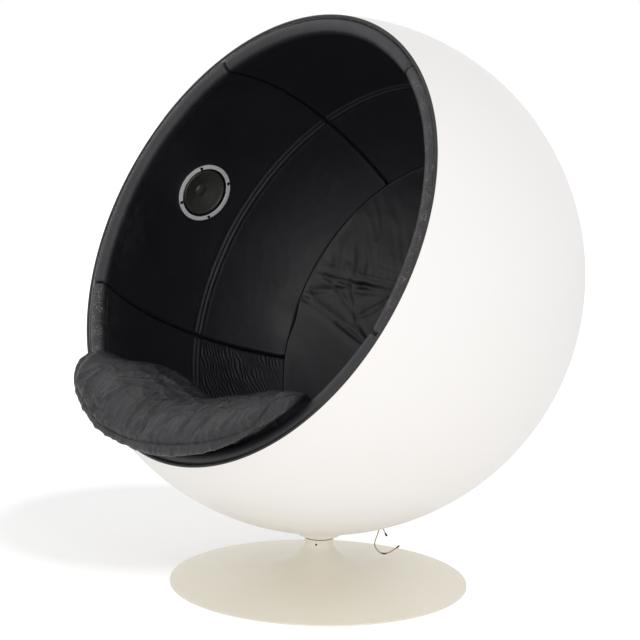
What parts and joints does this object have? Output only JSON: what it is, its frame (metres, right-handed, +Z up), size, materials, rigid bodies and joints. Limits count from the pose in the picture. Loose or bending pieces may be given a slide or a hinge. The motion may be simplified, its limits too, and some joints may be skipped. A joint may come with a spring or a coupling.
{
  "type": "pod chair",
  "caption": "Ball-shaped lounge chair on a swivelling trumpet base, with a padded leather lining, a loose seat cushion and loudspeakers in its side walls.",
  "frame": {"origin": "on the floor, on the axis that the ball swivels on, in the plane that the foot's floor ring stands on", "axes": "+Z is up; the mouth of the ball looks along -Y and up; +X is the sitter's left side"},
  "size_m": [1.0898, 1.0179, 1.2105],
  "materials": {
    "shell_gloss": "gloss",
    "base_paint": "gloss",
    "black_leather": "satin",
    "black_edging": "satin",
    "foam": "matte",
    "steel": "satin",
    "bronze": "satin",
    "brown_washer": "matte",
    "rubber": "matte",
    "black_steel": "satin",
    "speaker_grey": "satin",
    "speaker_black": "satin",
    "magnet": "matte",
    "plywood": "matte",
    "wire_brown": "satin",
    "sleeve_black": "matte"
  },
  "bodies": {
    "base": {"base_pedestal": "base_paint", "floor_ring": "rubber", "lower_bush": "bronze", "upper_bush": "bronze", "thrust_washer": "brown_washer", "set_screw": "black_steel"},
    "ball": {"ball_shell": "shell_gloss", "cover_back": "black_leather", "cover_bottom": "black_leather", "cover_left": "black_leather", "cover_right": "black_leather", "cover_top": "black_leather", "foam_back": "foam", "foam_bottom": "foam", "foam_left": "foam", "foam_right": "foam", "foam_top": "foam", "hub_bolts": "steel", "hub_flange": "base_paint", "hub_washers": "steel", "inner_plate": "steel", "lead_bend_sleeve": "sleeve_black", "lead_end_sleeve": "sleeve_black", "lead_grommet": "rubber", "retaining_nut": "steel", "retaining_washer": "steel", "rim_welt": "black_edging", "speaker_basket_left": "steel", "speaker_basket_right": "steel", "speaker_board_left": "plywood", "speaker_board_right": "plywood", "speaker_cone_left": "speaker_black", "speaker_cone_right": "speaker_black", "speaker_lead": "wire_brown", "speaker_magnet_left": "magnet", "speaker_magnet_right": "magnet", "speaker_ring_left": "speaker_grey", "speaker_ring_right": "speaker_grey", "speaker_screws_left": "black_steel", "speaker_screws_right": "black_steel", "speaker_wire_left": "wire_brown", "speaker_wire_right": "wire_brown", "spindle": "steel", "stub_connector": "sleeve_black", "stub_lead": "wire_brown"},
    "cushion": {"seat_cushion": "black_leather"}
  },
  "joints": [
    {"name": "swivel", "type": "hinge", "parent": "base", "child": "ball", "pos_m": [0, 0, 0.1], "axis": [0, 0, 1], "continuous": true},
    {"name": "cushion_lift", "type": "slide", "parent": "ball", "child": "cushion", "axis": [0, 0, 1], "range_m": [0, 0.25]}
  ]
}
